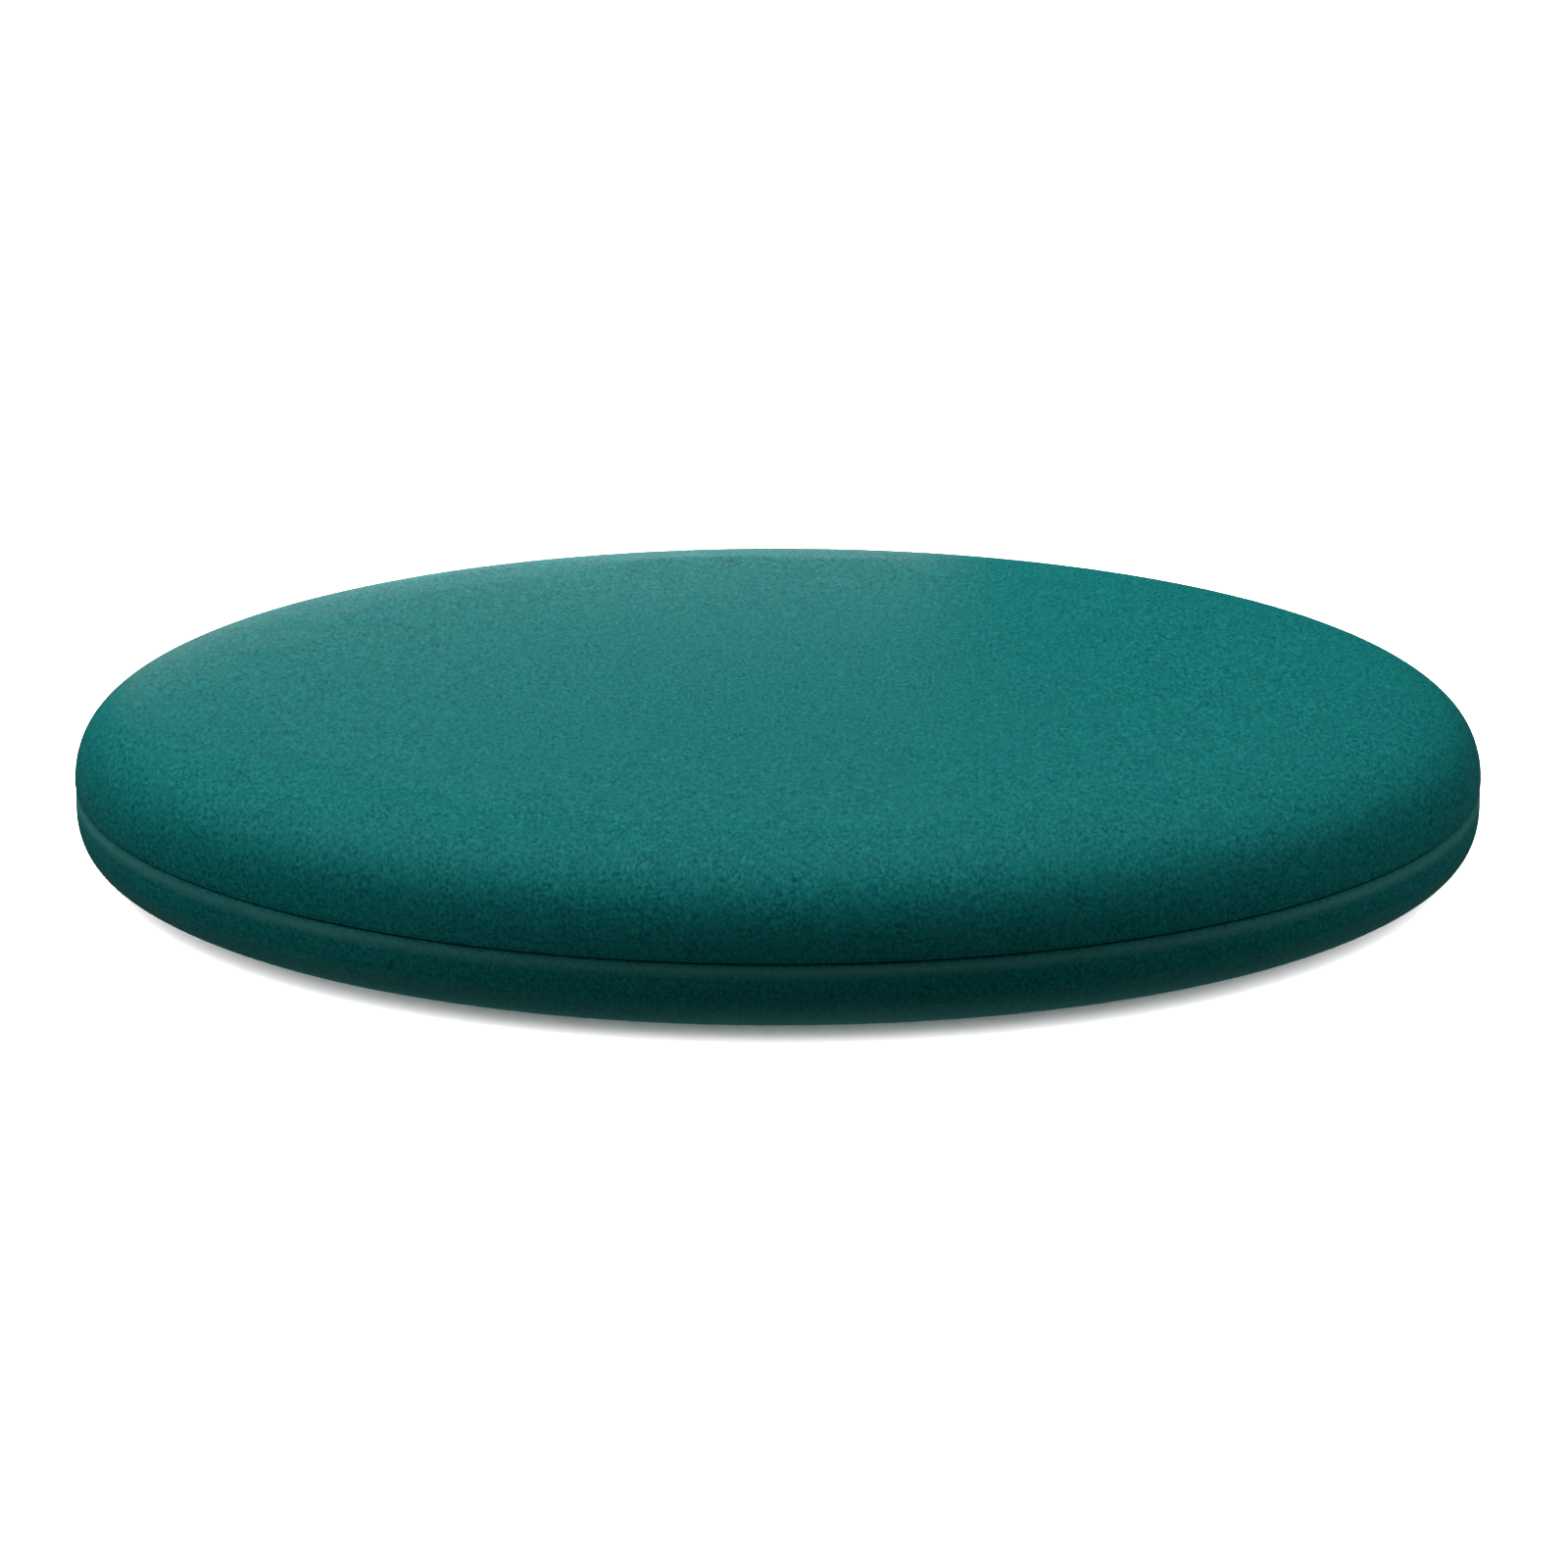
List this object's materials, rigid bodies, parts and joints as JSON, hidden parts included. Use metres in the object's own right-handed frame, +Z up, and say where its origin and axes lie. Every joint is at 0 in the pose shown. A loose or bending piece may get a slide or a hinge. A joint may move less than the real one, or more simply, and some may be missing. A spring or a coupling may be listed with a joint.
{
  "type": "balance pad",
  "caption": "Round flat foam balance pad in a removable zipped cover, with a studded rubber grip base, for standing balance exercises.",
  "frame": {"origin": "middle of the resting face, on the flat end of the centre stud of the rubber base", "axes": "+Z up through the pad's thickness, +Y towards the middle of the zip at the back"},
  "size_m": [0.4, 0.4003, 0.05],
  "materials": {
    "cover_fabric": "matt fine-grained coated fabric",
    "sewing_thread": "matt polyester thread",
    "zip_tape": "woven polyester tape",
    "zip_coil": "satin moulded coil",
    "zip_metal": "satin nickel plated",
    "base_rubber": "matt moulded rubber",
    "firm_foam": "open-cell foam, matt",
    "soft_foam": "open-cell foam, matt",
    "liner_knit": "fine stretch knit"
  },
  "bodies": {
    "pad": {"upper_cover": "cover_fabric", "lower_cover": "cover_fabric", "seam_binding": "zip_tape", "grip_base": "base_rubber", "base_stitching": "sewing_thread", "core_foam": "firm_foam", "comfort_foam": "soft_foam", "inner_liner": "liner_knit", "liner_elastic": "liner_knit", "zip_tape_upper": "zip_tape", "zip_tape_lower": "zip_tape", "zip_coil_upper": "zip_coil", "zip_coil_lower": "zip_coil", "zip_stitching_upper": "sewing_thread", "zip_stitching_lower": "sewing_thread", "zip_top_stop_upper": "zip_metal", "zip_top_stop_lower": "zip_metal", "zip_bottom_stop": "zip_metal", "zip_end_tab_right": "cover_fabric", "zip_end_tab_left": "cover_fabric"},
    "slider": {"zip_slider": "zip_metal"},
    "tab": {"pull_tab": "zip_metal"}
  },
  "joints": [
    {"name": "zip_travel", "type": "hinge", "parent": "pad", "child": "slider", "pos_m": [0, 0, 0.0245], "axis": [0, 0, 1], "range_deg": [0, 120]},
    {"name": "pull_swing", "type": "hinge", "parent": "slider", "child": "tab", "pos_m": [0.17277, 0.09975, 0.0245], "axis": [0, 0, -1], "range_deg": [0, 160]}
  ]
}
